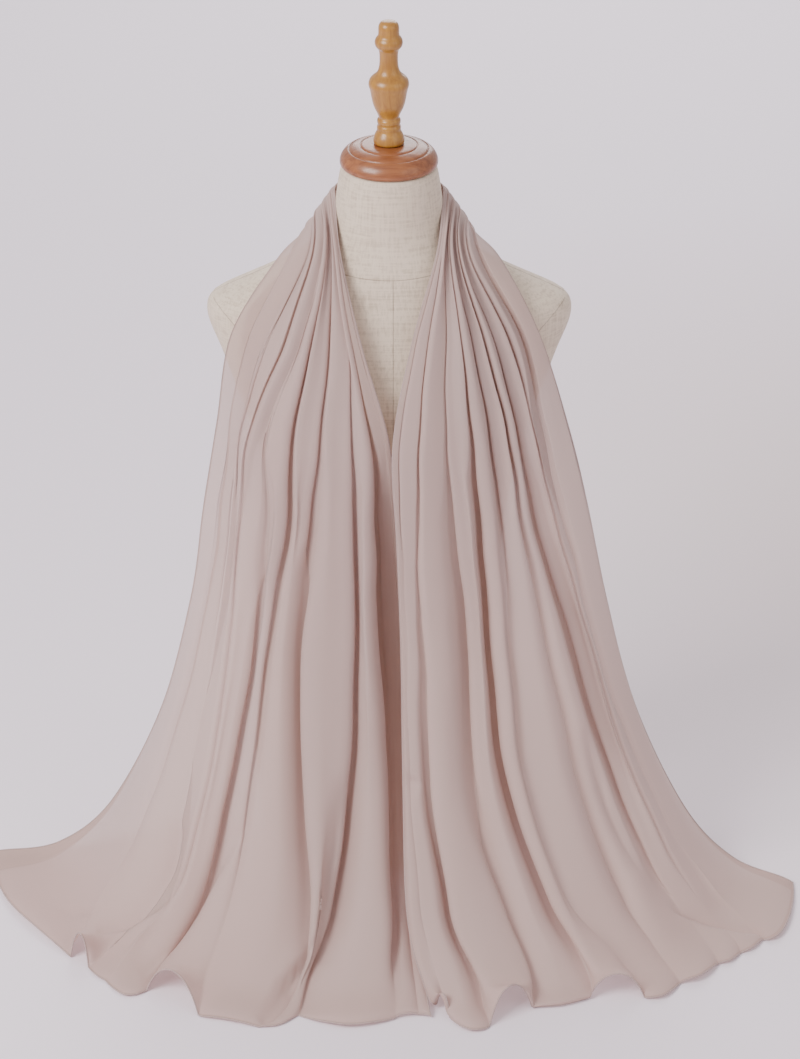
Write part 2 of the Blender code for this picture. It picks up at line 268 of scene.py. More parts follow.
# The welts' material is the same linen in those darker colours, painted shade along the seams.
seam_shaded_linen = linen_material("linen_seam_painted_shade", SEAM_SHADE_DARK, SEAM_SHADE_PALE)
seam_surface = bmesh.new()
seam_surface.from_mesh(cover.data)
seam_tree = BVHTree.FromBMesh(seam_surface)
seam_surface.free()


def tube_along(name, points, radius, material, closed=False):
    """A thin tube along points, open with flat ends or closed into a ring."""
    curve = bpy.data.curves.new(name, "CURVE")
    curve.dimensions = "3D"
    curve.bevel_depth = radius
    curve.bevel_resolution = 1
    curve.use_fill_caps = not closed
    line = curve.splines.new("POLY")
    line.points.add(len(points) - 1)
    for point, place in zip(line.points, points):
        point.co = (*place, 1.0)
    line.use_cyclic_u = closed
    tube = bpy.data.objects.new(name, curve)
    bpy.context.scene.collection.objects.link(tube)
    bpy.ops.object.select_all(action="DESELECT")
    tube.select_set(True)
    bpy.context.view_layer.objects.active = tube
    bpy.ops.object.convert(target="MESH")
    tube = bpy.context.active_object
    tube.data.shade_smooth()
    tube.data.materials.append(material)
    return tube


def seam(name, starts, towards):
    """A welt where rays from the start points meet the cover."""
    points = []
    for start, aim in zip(starts, towards):
        start, aim = Vector(start), Vector(aim)
        hit, normal, _, _ = seam_tree.ray_cast(start, (aim - start).normalized())
        if hit is not None:
            points.append(hit - normal * SEAM_SUNK)
    welt = tube_along(name, points, SEAM_RADIUS, seam_shaded_linen)
    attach(welt, "root")


heights = [MIDDLE_FOOT + MIDDLE_RISE * k / MIDDLE_STEPS for k in range(MIDDLE_STEPS + 1)]
seam("front_seam", [(FRONT_MIDDLE, -OUTSIDE, z) for z in heights], [(FRONT_MIDDLE, 0.0, z) for z in heights])
seam("back_seam", [(0.0, OUTSIDE, z) for z in heights], [(0.0, 0.0, z) for z in heights])
turns = [2.0 * math.pi * k / NECK_SEAM_STEPS for k in range(NECK_SEAM_STEPS + 1)]
neck_heights = [NECK_SEAM_HEIGHT - NECK_SEAM_DIP * math.cos(a) for a in turns]
seam("neck_seam",
     [(OUTSIDE * math.sin(a), -OUTSIDE * math.cos(a), z) for a, z in zip(turns, neck_heights)],
     [(0.0, 0.0, z) for z in neck_heights])
armhole = [tuple(Vector((*a, 0.0)).lerp(Vector((*b, 0.0)), k / ARMHOLE_STEPS)[:2])
           for a, b in zip(ARMHOLE, ARMHOLE[1:]) for k in range(ARMHOLE_STEPS)]
shoulder = [SHOULDER_FROM + SHOULDER_RUN * k / SHOULDER_STEPS for k in range(SHOULDER_STEPS + 1)]
for side, sign in (("left", -1.0), ("right", 1.0)):
    seam("shoulder_seam_" + side, [(sign * x, SHOULDER_BACK, ABOVE) for x in shoulder],
         [(sign * x, SHOULDER_BACK, 0.0) for x in shoulder])
    for face, near in (("front", -1.0), ("back", 1.0)):
        seam("armhole_seam_" + side + "_" + face, [(sign * x, near * OUTSIDE, z) for x, z in armhole],
             [(sign * x, 0.0, z) for x, z in armhole])


# The neck cap
# A disc of red-brown hardwood under satin lacquer, turned with a domed top, a rounded rim and two
# grooves, and screwed down on the form's neck.
CAP_PROFILE = (
    (30.0, 781.0), (46.0, 781.0), (47.4, 781.3), (48.4, 782.8), (48.7, 785.0), (48.2, 788.2), (46.8, 791.4),
    (44.4, 794.4), (42.0, 796.3), (40.6, 797.1), (39.8, 797.3), (39.4, 796.4), (38.9, 796.3),
    (38.4, 797.9), (36.0, 799.0),
    (33.0, 800.2), (30.4, 800.9), (29.0, 801.2), (28.5, 800.4), (28.0, 800.4), (27.4, 801.6), (24.0, 802.3),
    (20.0, 802.7), (8.0, 802.9), (1.0, 803.0),
)
CAP_SIDES = 56
CAP_PALE, CAP_DARK = (0.315, 0.110, 0.037), (0.175, 0.048, 0.014)
CAP_GRAIN, CAP_COAT = 190.0, 0.25
GRAIN_ACROSS = (0.0, math.radians(90.0), 0.0)
FIBRE_LENGTH = (1.0, 1.0, 0.09)


def grain_group():
    """Turned wood: long fibres along the vector's Z, with pale and dark bands."""
    group = bpy.data.node_groups.new("wood_grain", "ShaderNodeTree")
    for name, kind in (("Vector", "NodeSocketVector"), ("Scale", "NodeSocketFloat"),
                       ("Pale", "NodeSocketColor"), ("Dark", "NodeSocketColor")):
        group.interface.new_socket(name, in_out="INPUT", socket_type=kind)
    for name, kind in (("Color", "NodeSocketColor"), ("Roughness", "NodeSocketFloat"),
                       ("Height", "NodeSocketFloat")):
        group.interface.new_socket(name, in_out="OUTPUT", socket_type=kind)
    links = group.links
    enter = node(group, "NodeGroupInput", (-1000, 0))
    leave = node(group, "NodeGroupOutput", (300, 0))
    stretched = node(group, "ShaderNodeVectorMath", (-800, 0), {1: FIBRE_LENGTH}, operation="MULTIPLY")
    fibres = node(group, "ShaderNodeTexNoise", (-600, 0),
                  {"Detail": 6.0, "Roughness": 0.7, "Distortion": 0.6})
    spread = node(group, "ShaderNodeMapRange", (-400, 0), {"From Min": 0.34, "From Max": 0.66})
    mixed = node(group, "ShaderNodeMix", (-100, 150), data_type="RGBA")
    rough = node(group, "ShaderNodeMapRange", (-100, -150), {"To Min": 0.42, "To Max": 0.28})
    links.new(enter.outputs["Vector"], stretched.inputs[0])
    links.new(stretched.outputs[0], fibres.inputs["Vector"])
    links.new(enter.outputs["Scale"], fibres.inputs["Scale"])
    links.new(fibres.outputs["Fac"], spread.inputs["Value"])
    links.new(spread.outputs["Result"], mixed.inputs["Factor"])
    links.new(enter.outputs["Dark"], mixed.inputs["A"])
    links.new(enter.outputs["Pale"], mixed.inputs["B"])
    links.new(mixed.outputs["Result"], leave.inputs["Color"])
    links.new(spread.outputs["Result"], rough.inputs["Value"])
    links.new(rough.outputs["Result"], leave.inputs["Roughness"])
    links.new(spread.outputs["Result"], leave.inputs["Height"])
    return group


wood_grain = grain_group()


def wood_material(name, pale, dark, scale, turn, coat):
    """Turned wood under lacquer, with its fibres turned to lie along the piece."""
    material, tree, shader = new_material(name, {"Coat Weight": coat, "Coat Roughness": 0.18})
    links = tree.links
    place = node(tree, "ShaderNodeTexCoord", (-900, 0))
    turned = node(tree, "ShaderNodeMapping", (-700, 0), {"Rotation": turn})
    grain = node(tree, "ShaderNodeGroup", (-450, 0), node_tree=wood_grain)
    grain.inputs["Scale"].default_value = scale
    grain.inputs["Pale"].default_value = (*pale, 1.0)
    grain.inputs["Dark"].default_value = (*dark, 1.0)
    bump = node(tree, "ShaderNodeBump", (-200, -250), {"Strength": 0.25, "Distance": 0.0002})
    links.new(place.outputs["Object"], turned.inputs["Vector"])
    links.new(turned.outputs["Vector"], grain.inputs["Vector"])
    links.new(grain.outputs["Color"], shader.inputs["Base Color"])
    links.new(grain.outputs["Roughness"], shader.inputs["Roughness"])
    links.new(grain.outputs["Height"], bump.inputs["Height"])
    links.new(bump.outputs["Normal"], shader.inputs["Normal"])
    return material


def turned_piece(name, profile, sides, material):
    """A round piece through a profile of radii and heights."""
    return drawn_up(name, [(height, radius, radius, 0.0) for radius, height in profile], sides, 1, material)


cap_wood = wood_material("red_brown_wood", CAP_PALE, CAP_DARK, CAP_GRAIN, GRAIN_ACROSS, CAP_COAT)
cap = turned_piece("turned_cap", CAP_PROFILE, CAP_SIDES, cap_wood)
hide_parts("neck_cap")
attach(cap, "root")


# The finial
# A paler honey-coloured hardwood knob, turned in one piece with a foot, a bead, a swelling waist and
# a collar under its top, lacquered, and glued into the middle of the cap.
FINIAL_PROFILE = (
    (8.0, 803.3), (14.6, 803.35), (15.2, 804.2), (15.4, 807.0), (14.9, 810.6), (13.4, 813.6), (12.2, 815.8),
    (11.6, 817.4), (11.9, 818.6), (11.9, 820.6), (11.3, 822.0), (10.8, 822.9), (11.3, 824.0), (11.7, 825.2),
    (11.7, 827.4), (11.2, 828.6), (10.2, 829.3), (10.0, 830.4), (10.6, 832.6), (12.0, 835.6), (13.7, 838.8),
    (15.2, 842.4), (16.4, 846.8), (17.3, 852.0), (18.2, 857.4), (19.0, 860.4), (19.8, 862.4), (20.0, 864.6),
    (19.5, 867.2), (18.4, 869.6), (16.6, 871.6), (13.6, 873.8), (11.6, 875.8), (10.3, 878.6), (9.4, 882.4),
    (9.0, 887.0), (9.0, 893.0), (9.3, 897.0), (10.0, 899.6), (11.6, 901.0), (13.2, 903.0), (13.9, 906.0),
    (13.5, 909.0), (12.2, 911.2), (11.0, 912.4), (10.3, 914.2), (10.2, 917.6), (10.3, 921.0), (9.8, 923.8),
    (8.4, 926.2), (6.0, 927.6), (3.0, 928.1), (0.8, 928.1),
)
FINIAL_SIDES = 40
FINIAL_PALE, FINIAL_DARK = (0.405, 0.190, 0.026), (0.28, 0.115, 0.014)
FINIAL_GRAIN, FINIAL_COAT = 210.0, 0.3
GRAIN_UPRIGHT = (0.0, 0.0, 0.0)

finial_wood = wood_material("honey_wood", FINIAL_PALE, FINIAL_DARK, FINIAL_GRAIN, GRAIN_UPRIGHT,
                            FINIAL_COAT)
finial = turned_piece("turned_finial", FINIAL_PROFILE, FINIAL_SIDES, finial_wood)
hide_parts("finial")
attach(finial, "root")


# The chiffon scarf
# One strip of soft, slightly sheer chiffon, about 0.6 m by 1.9 m, gathered in the hand into
# pleats at its middle, laid round the neck and let fall. It is drawn as one sheet: the left fall
# from its hem up to the neck, the gathered band round the nape, and the right fall down again.
CLOTH_WIDTH, CLOTH_LENGTH = 0.60, 1.93
# The smooth surface that the folds of each fall touch, a row for each station: neck, collar, chest,
# bust, waist, hip, shin, foot, toe and hem. Each row is the inner edge's x, y and z and the outer
# edge's x, y and z in mm, how flat the cloth is between them, and how tightly it turns at its sides.
FALL_LEFT = (
    (-54.9,    6.0, 752.0,  -86.0,   6.0, 706.0, 1.6, 1.0),
    (-49.0,  -50.0, 712.0, -112.0, -26.0, 690.0, 1.8, 1.0),
    (-27.0,  -99.0, 630.0, -157.0, -57.0, 624.0, 2.0, 1.0),
    (  0.0, -124.0, 535.0, -174.0, -66.0, 530.0, 2.2, 1.1),
    (  8.0, -133.0, 430.0, -193.0, -60.0, 430.0, 2.4, 1.2),
    ( 16.0, -148.0, 320.0, -211.0, -56.0, 320.0, 2.5, 1.3),
    ( 20.0, -192.0, 190.0, -247.0, -55.0, 190.0, 2.6, 1.5),
    ( 26.0, -262.0,  78.0, -305.0, -56.0,  74.0, 2.8, 1.7),
    ( 36.0, -317.0,  32.0, -363.0, -58.0,  25.0, 2.9, 1.9),
    ( 42.0, -352.0,  30.0, -426.0, -58.0,  30.0, 3.0, 2.0),
)
FALL_RIGHT = (
    ( 54.9,    6.0, 752.0,   86.0,   6.0, 706.0, 1.6, 1.0),
    ( 48.0,  -52.0, 712.0,  112.0, -26.0, 690.0, 1.8, 1.0),
    ( 22.0, -101.0, 630.0,  150.0, -59.0, 624.0, 2.0, 1.0),
    (  4.0, -132.0, 535.0,  180.0, -66.0, 530.0, 2.2, 1.1),
    (  8.0, -146.0, 430.0,  206.0, -60.0, 430.0, 2.4, 1.2),
    ( 12.0, -164.0, 320.0,  230.0, -56.0, 320.0, 2.4, 1.3),
    ( 14.0, -208.0, 190.0,  266.0, -60.0, 190.0, 2.4, 1.4),
    ( 18.0, -274.0,  78.0,  323.0, -72.0,  74.0, 2.4, 1.5),
    ( 34.0, -322.0,  32.0,  375.0, -90.0,  25.0, 2.4, 1.6),
    ( 48.0, -352.0,  30.0,  430.0,-112.0,  30.0, 2.4, 1.7),
)
# Each crease, from the inner edge outwards: where its line lies across the cloth at each station,
# its depth there in mm, and its lean. A lean above 0 means that the fold on its outer side laps over
# it, and below 0 the one on its inner side. The two edges follow the edges of the fall itself.
CREASES_LEFT = (
    ("inner_edge", (),
     (1, 2, 2, 3, 26, 46, 50, 34, 16, 27), (0, 0, 0, 0, 0, 0, 0, 0, 0, 0)),
    ("rim", (-56, -49.6, -29.5, -4, 3, 10, 13, 18, 26, 30),
     (1, 2, 2, 3, 28, 48, 54, 34, 16, 28), (0, 0, 0, 0, 0, 0, 0, 0, 0, 0)),
    ("throat", (-58, -50.4, -36, -18, -14, -12, -2, 4, 8, 4),
     (4, 5, 6, 13, 32, 52, 58, 40, 16, 28), (0.5, 0.8, 0.8, 0.6, 1, 1, 1, 0.8, 0.4, 0)),
    ("front", (-60, -53, -40, -38, -38, -36, -42, -61, -84, -92),
     (2, 2, 4, 9, 18, 22, 26, 26, 16, 29), (0, 0, 0.5, 1, 1, 1, 1, 1, 0.5, 0)),
    ("long", (-62, -56.5, -60, -70, -82, -93, -92, -82, -94, -130),
     (9, 13, 11, 12, 18, 24, 30, 28, 18, 29), (0.8, 1, 1, 0.9, 0.4, -0.7, -1, -1, -0.7, 0)),
    ("middle", (-65, -60.5, -76, -98, -105, -122, -138, -162, -186, -191),
     (4, 7, 9, 11, 13, 10, 6, 4, 9, 29), (0.8, 1, 1, 1, 0.8, 0.4, 0.2, 0, 0, 0)),
    ("soft", (-68, -66, -88, -122, -126, -138, -161, -195, -233, -248),
     (3, 3, 1, 4, 10, 14, 20, 24, 18, 29), (0, 0, 0, 0, -0.5, 0.5, 0.6, 0.4, 0.2, 0)),
    ("wing", (-73, -75, -103, -139, -150, -161, -182, -216, -264, -288),
     (6, 7, 7, 3, 1, 1, 2, 3, 6, 29), (-1, -1, -1, -0.6, 0, 0, 0, 0, 0, 0)),
    ("shoulder", (-78, -83, -120, -150, -163, -178, -205, -234, -284, -308),
     (6, 10, 3, 1, 4, 4, 4, 8, 14, 29), (0.8, 0.8, 0.3, 0, -0.3, -0.3, 0, -0.7, -0.4, 0)),
    ("side", (-83, -99, -138, -159, -173, -191, -226, -274, -316, -329),
     (2, 3, 2, 1, 4, 5, 6, 5, 9, 29), (0, 0, 0, 0, 0, 0, 0, 0, 0, 0)),
    ("outer_edge", (),
     (1, 2, 2, 2, 4, 5, 6, 8, 11, 28), (0, 0, 0, 0, 0, 0, 0, 0, 0, 0)),
)
CREASES_RIGHT = (
    ("inner_edge", (),
     (1, 2, 2, 3, 4, 6, 8, 8, 9, 27), (0, 0, 0, 0, 0, 0, 0, 0, 0, 0)),
    ("rim", (56, 49.5, 26, 10, 13, 17, 22, 32, 50, 60),
     (2, 3, 4, 4, 2, 0.5, 0.5, 1, 7, 28), (0.5, 0.7, 0.8, 0.9, 0.4, 0, 0, 0, 0, 0)),
    ("throat", (58, 52, 38, 30, 29, 32, 38, 62, 90, 101),
     (3, 4, 5, 5, 4, 6, 11, 20, 18, 29), (0.4, 0.6, 0.9, 0.6, 0, 0.2, 0.5, 1, 0.8, 0)),
    ("front", (61, 55.5, 57, 58, 69, 80, 87, 122, 146, 144),
     (5, 6, 6, 7, 15, 22, 20, 18, 18, 29), (1, 1, 1, 1, 0.8, 0.5, 0.3, -0.7, -0.9, 0)),
    ("long", (63, 59, 72, 85, 95, 106, 121, 165, 202, 202),
     (5, 7, 7, 12, 26, 32, 30, 22, 15, 29), (1, 1, 1, 1, 1, 1, 1, 0.9, 0.5, 0)),
    ("middle", (66, 63.5, 84, 103, 115, 124, 137, 182, 238, 259),
     (4, 7, 9, 12, 9, 6, 5, 5, 9, 29), (0.8, 1, 1, 0.8, 0.2, 0, 0, 0, 0, 0)),
    ("soft", (69, 68, 96, 119, 136, 162, 194, 238, 276, 296),
     (9, 14, 13, 10, 9, 9, 10, 14, 12, 29), (0.3, 0.5, 0.6, 0.6, 0, 0, 0, 0, 0, 0)),
    ("shoulder", (72, 73, 106, 131, 154, 188, 226, 274, 318, 337),
     (3, 5, 8, 13, 20, 21, 19, 13, 11, 29), (1, 1, 0.8, 0.6, 0.9, 0.9, 0.7, 0.3, 0, 0)),
    ("cap", (76, 79, 120, 143, 169, 199, 238, 290, 336, 364),
     (7, 13, 13, 2, 2, 2, 3, 4, 8, 29), (1, 1, 0.8, 0, 0, 0, 0, 0, 0, 0)),
    ("side", (82, 93, 133, 156, 179, 207, 248, 304, 352, 389),
     (2, 7, 12, 6, 5, 5, 4, 4, 8, 29), (-0.5, -0.8, -1, -0.6, 0, 0, 0, 0, 0, 0)),
    ("outer_edge", (),
     (1, 2, 3, 2, 4, 5, 6, 8, 11, 28), (0, 0, 0, 0, 0, 0, 0, 0, 0, 0)),
)
# How far in mm each fold's top lies below the crown surface at each station, from the inner edge
# outwards. At the hem 30 is the floor, so a small number there is an arch in the hem.
TOPS_LEFT = (
    (0, 1, 1, 2, 26, 46, 50, 32, 14, 26),
    (0, 0, 1, 5, 28, 46, 52, 30, 12, 25),
    (0, 0, 1, 2, 4, 4, 4, 3, 8, 24),
    (0, 0, 0, 0, 0, 0, 0, 0, 6, 26),
    (0, 0, 0, 0, 1, 0, 0, 2, 10, 26),
    (0, 0, 0, 0, 0, 0, 0, 2, 4, -4),
    (0, 0, 0, 0, 0, 0, 0, 2, 12, 27),
    (0, 0, 0, 0, 0, 0, 0, 3, 12, 27),
    (0, 0, 0, 0, 0, 0, 0, 3, 8, -4),
    (0, 0, 0, 0, 0, 0, 0, 3, 12, 24),
)
TOPS_RIGHT = (
    (0, 1, 1, 2, 2, 1, 0, 0, 6, 6),
    (0, 0, 0, 0, 0, 0, 0, 0, 6, 26),
    (0, 0, 0, 0, 0, 0, 0, 0, 2, -4),
    (0, 0, 0, 0, 0, 2, 3, 3, 10, 27),
    (0, 0, 0, 0, 0, 0, 0, 0, 3, 0),
    (0, 0, 0, 0, 0, 0, 0, 2, 10, 25),
    (0, 0, 0, 0, 0, 0, 0, 1, 8, 22),
    (0, 0, 0, 0, 0, 0, 0, 2, 10, 26),
    (0, 0, 0, 0, 0, 0, 0, 2, 10, 26),
    (0, 0, 0, 0, 0, 0, 0, 3, 10, 25),
)
# Half of how far, in mm, a fold with a lean of 1 laps over its neighbour, at each station.
LAPS = (1.6, 3.5, 6.0, 8.5, 11.0, 12.0, 12.0, 9.0, 4.0, 0.0)
# How far in mm the hem reaches forwards of that surface's end, at each crease and each fold's top.
HEM_REACH_LEFT = (-4, -6, -8, -6, -2, 12, -6, 12, 16, 12, 8, -12, -14, 4, -8, -10, -20, -24, -22, -24, 0)
HEM_REACH_RIGHT = (-24, -14, -4, 18, 10, -12, -18, -14, -22, -14, -4, 6, -8, 0, -12, -4, -8, 0, 0, 22, 4)
# How far in mm each fold tips, from the inner edge outwards: above 0 its inner side lies deeper than
# its outer side; and how much of that tip there is at each station.
TIPS_LEFT = (0.0, 0.0, -3.0, 2.5, 3.5, -2.5, 3.0, -4.0, 3.0, 0.0)
TIPS_RIGHT = (0.0, 0.0, -3.0, 3.0, -3.0, 4.0, -4.0, 4.0, -3.0, 0.0)
TIP_SHARES = (0.5, 0.9, 1.0, 1.0, 1.1, 1.2, 1.2, 0.9, 0.5, 0.0)
# How widely a fold rounds over into its creases, at each station, as a share of its widest. A crease
# deeper than EVEN_DEPTH, in mm, rounds more widely and a shallower one less, inside two limits.
EVEN_DEPTH, LEAST_ROUND, MOST_ROUND = 8.0, 0.6, 2.2
ROUNDING = (0.3, 0.3, 0.32, 0.42, 0.7, 1.0, 1.0, 1.0, 1.0, 1.0)
# How far one layer of cloth shows by itself in each fold, from the inner edge outwards: 1 lets most
# light through, and 0 is a fold that is backed by others.
SHEERS_LEFT = (1.0, 0.9, 0.0, 0.0, 0.0, 0.0, 0.0, 0.1, 0.3, 0.85)
SHEERS_RIGHT = (0.5, 0.0, 0.0, 0.0, 0.0, 0.0, 0.0, 0.0, 0.05, 0.15)
# One end of a fold in section, from its crease to its crown: how far in from the crease's line, as a
# share of the fold's width and of the lap, and the share of the crease's depth.
FOLD_ENDS = {
    "soft": ((0.00, 0.0, 1.00), (0.06, 0.0, 0.72), (0.16, 0.0, 0.38), (0.29, 0.0, 0.12), (0.44, 0.0, 0.00)),
    "over": ((0.00, 2.0, 1.00), (0.00, 1.0, 0.82), (0.00, 0.0, 0.40), (0.01, 0.4, 0.10), (0.14, 1.0, 0.02)),
    "under": ((0.00, -2.0, 1.00), (0.04, 0.0, 0.84), (0.15, 0.0, 0.54), (0.30, 0.0, 0.20), (0.46, 0.0, 0.00)),
}
# Short creases where the cloth turns on to the surface: from and to, each as a place across and a
# station; how far the soft side reaches, in mm, above 0 where that is the left or the upper side;
# and the depth in mm. The other side is a crisp one, which reaches CRISP_SIDE as far.
BREAKS_LEFT = (
    ("short", 0.800, 6.60, 0.742, 7.50, 24.0, 12.0),
    ("under_short", 0.755, 7.28, 0.830, 8.20, 20.0, 9.0),
    ("slant", 0.585, 6.50, 0.690, 8.40, 22.0, 11.0),
    ("corner", 0.262, 6.00, 0.286, 7.70, -18.0, 14.0),
    ("under_corner", 0.280, 7.35, 0.375, 8.85, -20.0, 13.0),
    ("pinch", 0.925, 8.30, 0.875, 7.92, 9.0, 5.0),
)
BREAKS_RIGHT = (
    ("kink", -0.02, 5.93, 0.080, 6.02, 14.0, 4.0),
    ("side_hollow", 0.775, 5.80, 0.795, 7.10, 24.0, 12.0),
    ("hem_fold", 0.820, 7.65, 0.905, 8.95, -12.0, 9.0),
)
CRISP_SIDE = 0.18
SOFT_FALL, END_FALL = 1.3, 0.8   # how steeply a short crease fades on its soft side and at its ends
# How far, in mm, the crease lines wander and the folds swell, in full from station FULL_FROM on, and
# how far the noise moves on for each station, each crease line and the whole width.
SWAY, SWAY_STATION, SWAY_LINE = 2.5, 1.7, 7.3
RIPPLE, RIPPLE_STATION, RIPPLE_WIDTH = 1.1, 0.9, 14.0
FULL_FROM = 3.0
# The station from which the hem reaches out, and how high in mm the cloth lies over the surface.
HEM_FROM, CLOTH_LIES_AT = 7.6, 1.2
# Where single layers begin to show, and how much of their sheerness is left towards the hem.
SHEER_FROM = 0.6
SHEER_STATIONS, SHEER_SHARES = (4.0, 7.0, 9.0), (1.0, 0.65, 0.35)
# The nape band's middle and its sag behind the neck, in mm, and the share by which its wide rows are
# drawn in towards its tightest one there.
NAPE_MIDDLE, NAPE_SAG, NAPE_TIGHTER = 6.0, 9.0, 0.4
# The sheet's rows from each station to the next, its columns in a fold, and its rows round the nape.
ROWS_PER_STATION = (18, 24, 24, 24, 26, 32, 32, 18, 18)
FOLD_STEPS = 18
NAPE_ROWS = 56


def through(table, at):
    """Smooth curves through a table's rows (Catmull-Rom), read at an array of row numbers."""
    table = np.asarray(table, dtype=float)
    last = len(table) - 1
    low = np.minimum(np.floor(at).astype(int), last - 1)
    f = (at - low)[:, None]
    padded = np.vstack([2 * table[0] - table[1], table, 2 * table[last] - table[last - 1]])
    p0, p1, p2, p3 = padded[low], padded[low + 1], padded[low + 2], padded[low + 3]
    return 0.5 * (2 * p1 + (p2 - p0) * f + (2 * p0 - 5 * p1 + 4 * p2 - p3) * f ** 2
                  + (3 * p1 - p0 - 3 * p2 + p3) * f ** 3)


def crown_surface(across, at, stations):
    """The smooth surface that the folds' crowns touch; across has a row for each entry of at."""
    in_x, in_y, in_z, out_x, out_y, out_z, bow, turn = (c[:, None] for c in through(stations, at).T)
    across = np.clip(across, 0.0, 1.0)
    keep = (1.0 - across ** bow) ** (1.0 / turn)
    return np.stack([in_x + (out_x - in_x) * across, out_y + (in_y - out_y) * keep,
                     in_z + (out_z - in_z) * across], axis=-1)


def crown_normal(across, at, stations):
    """Directions straight out of the crown surface; at the neck they turn level with the neck."""
    step, last = 0.02, len(stations) - 1
    across = np.clip(across, 0.0, 1.0)
    along = (crown_surface(across, np.minimum(at + step, last), stations)
             - crown_surface(across, np.maximum(at - step, 0.0), stations))
    along /= np.linalg.norm(along, axis=-1, keepdims=True)
    near = np.clip(1.0 - at, 0.0, 1.0)[:, None, None]
    along = along * (1.0 - near) + np.array((0.0, -1.0, 0.0)) * near
    beside = crown_surface(across + step, at, stations) - crown_surface(across - step, at, stations)
    out = np.cross(along, beside)
    out /= np.linalg.norm(out, axis=-1, keepdims=True)
    return -out if stations[0][0] < 0 else out


def fold_end(crease_line, fold_width, rounding, lap, depth, top, lean, tip):
    """Places across and dips of a fold's end, from its crease to its top, a row for each point."""
    weight = np.abs(lean)
    rounding = np.minimum(rounding * np.clip(depth / EVEN_DEPTH, LEAST_ROUND, MOST_ROUND), 1.0)
    places, dips = [], []
    for soft, over, under in zip(FOLD_ENDS["soft"], FOLD_ENDS["over"], FOLD_ENDS["under"]):
        side = np.where(lean[:, None] > 0, over, under)
        inwards, lapped, share = (np.array(soft) + (side - soft) * weight[:, None]).T
        places.append(crease_line + inwards * rounding * fold_width + lapped * lap * np.sign(fold_width))
        dips.append(top + (depth - top) * share + tip * (1.0 - share) * (1.0 - 2.0 * inwards * rounding))
    return places, dips


def short_creases(crown, normal, stations, breaks):
    """How far the short creases sink each point of the crown surface."""
    sunk = np.zeros(crown.shape[:2])
    for _, from_across, from_at, to_across, to_at, reach, depth in breaks:
        start, end = (crown_surface(np.array([[a]]), np.array([t]), stations)[0, 0]
                      for a, t in ((from_across, from_at), (to_across, to_at)))
        length = np.linalg.norm(end - start)
        along = (end - start) / length
        beside = ((crown - start) * np.cross(along, normal)).sum(axis=-1) / reach
        soft = np.exp(-np.maximum(beside, 0.0) ** SOFT_FALL)
        crisp = np.exp(-(beside / CRISP_SIDE) ** 2)
        share = np.clip((crown - start) @ along / length, 0.0, 1.0)
        sunk += depth * np.where(beside > 0.0, soft, crisp) * np.sin(np.pi * share) ** END_FALL
    return sunk


def fall_sheet(stations, creases, tops, hem_reach, sheers, tips, breaks):
    """Points of one fall, a row for each step from neck to hem, a column for each step across."""
    at = np.array([s + k / n for s, n in enumerate(ROWS_PER_STATION) for k in range(n)]
                  + [len(ROWS_PER_STATION)])
    ends = through(stations, at)[:, [0, 3]]
    width = ends[:, 1] - ends[:, 0]
    lines = through(np.array([line for _, line, _, _ in creases[1:-1]]).T, at)
    for place, line in enumerate(lines.T):
        line += SWAY * np.array([min(t / FULL_FROM, 1.0)
                                 * noise.noise((t * SWAY_STATION, place * SWAY_LINE, width[0])) for t in at])
    edges = (np.column_stack([ends[:, 0], lines, ends[:, 1]]) - ends[:, :1]) / width[:, None]
    depths = through(np.array([depth for _, _, depth, _ in creases]).T, at)
    leans = np.clip(through(np.array([lean for _, _, _, lean in creases]).T, at), -1.0, 1.0)
    tops = through(np.array(tops).T, at)
    lap = through(np.array(LAPS)[:, None], at)[:, 0] / np.abs(width)
    rounding = through(np.array(ROUNDING)[:, None], at)[:, 0]
    tip_share = through(np.array(TIP_SHARES)[:, None], at)[:, 0]
    columns, sinks = [edges[:, 0]], [depths[:, 0]]
    for near in range(len(creases) - 1):
        far = near + 1
        fold_width, top = edges[:, far] - edges[:, near], tops[:, near]
        tip = tip_share * tips[near]
        near_places, near_dips = fold_end(edges[:, near], fold_width, rounding, lap, depths[:, near], top,
                                          leans[:, near], tip)
        far_places, far_dips = fold_end(edges[:, far], -fold_width, rounding, lap, depths[:, far], top,
                                        -leans[:, far], -tip)
        places, dips = near_places + far_places[::-1], near_dips + far_dips[::-1]
        steps = np.arange(1, FOLD_STEPS + 1) / FOLD_STEPS * (len(places) - 1)
        columns.extend(through(places, steps))
        sinks.extend(through(dips, steps))
    across, sink = np.array(columns).T, np.array(sinks).T
    for row, t in enumerate(at):
        swell = RIPPLE * min(t / FULL_FROM, 1.0)
        sink[row] += [swell * noise.noise((a * RIPPLE_WIDTH, t * RIPPLE_STATION, width[0]))
                      for a in across[row]]
    crown, normal = crown_surface(across, at, stations), crown_normal(across, at, stations)
    sink += short_creases(crown, normal, stations, breaks)
    points = crown - sink[..., None] * normal
    reach = through(np.array(hem_reach)[:, None], np.linspace(0, len(hem_reach) - 1, across.shape[1]))[:, 0]
    towards_hem = np.clip((at - HEM_FROM) / (len(ROWS_PER_STATION) - HEM_FROM), 0.0, 1.0)
    points[..., 1] -= reach * (towards_hem ** 2)[:, None]
    points[..., 2] = np.maximum(points[..., 2], CLOTH_LIES_AT)
    shows = np.clip(at - SHEER_FROM, 0.0, 1.0) * np.interp(at, SHEER_STATIONS, SHEER_SHARES)
    single = np.outer(shows, np.append(sheers[0], np.repeat(sheers, FOLD_STEPS)))
    return points, single


